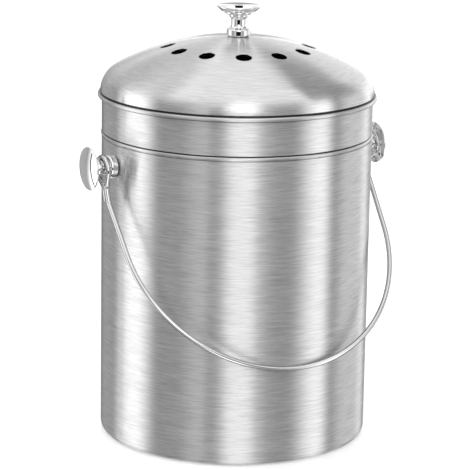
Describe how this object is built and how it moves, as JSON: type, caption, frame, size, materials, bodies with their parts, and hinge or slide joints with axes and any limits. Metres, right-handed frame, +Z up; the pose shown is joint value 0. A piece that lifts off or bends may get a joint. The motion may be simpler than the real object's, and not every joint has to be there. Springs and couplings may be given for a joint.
{
  "type": "compost caddy",
  "caption": "Cylindrical stainless countertop compost caddy with a lift-off vented dome lid, mushroom knob, filter tray and wire bail.",
  "frame": {"origin": "centre of the base, on the counter", "axes": "+Z up along the pail's axis; X through the two bail studs; -Y is the side where the bail leans at rest"},
  "size_m": [0.2216, 0.1862, 0.29],
  "materials": {
    "stainless_pail": "fine brushing round the wall",
    "stainless_lid": "spun, brushed in circles",
    "stainless_skirt": "satin",
    "polished_knob": "polished",
    "polished_stud": "polished",
    "polished_wire": "polished",
    "screw_steel": "bright zinc",
    "seal_rubber": "matt",
    "black_plastic": "moulded, satin",
    "charcoal_felt": "carbon felt"
  },
  "bodies": {
    "pail": {"pail_body": "stainless_pail", "left_stud": "polished_stud", "right_stud": "polished_stud", "left_stud_screw": "screw_steel", "right_stud_screw": "screw_steel", "left_stud_washer": "seal_rubber", "right_stud_washer": "seal_rubber"},
    "lid": {"lid_dome": "stainless_lid", "lid_skirt": "stainless_skirt", "lid_knob": "polished_knob", "knob_screw": "screw_steel", "knob_washer": "screw_steel"},
    "filter": {"filter_tray": "black_plastic", "charcoal_filter": "charcoal_felt"},
    "bail": {"bail_handle": "polished_wire"}
  },
  "joints": [
    {"name": "lid_lift", "type": "slide", "parent": "pail", "child": "lid", "axis": [0, 0, 1], "range_m": [0, 0.12]},
    {"name": "filter_pull", "type": "slide", "parent": "lid", "child": "filter", "axis": [0, 0, -1], "range_m": [0, 0.028]},
    {"name": "bail_swing", "type": "hinge", "parent": "pail", "child": "bail", "pos_m": [0, 0, 0.1885], "axis": [-1, 0, 0], "range_deg": [0, 285]}
  ]
}
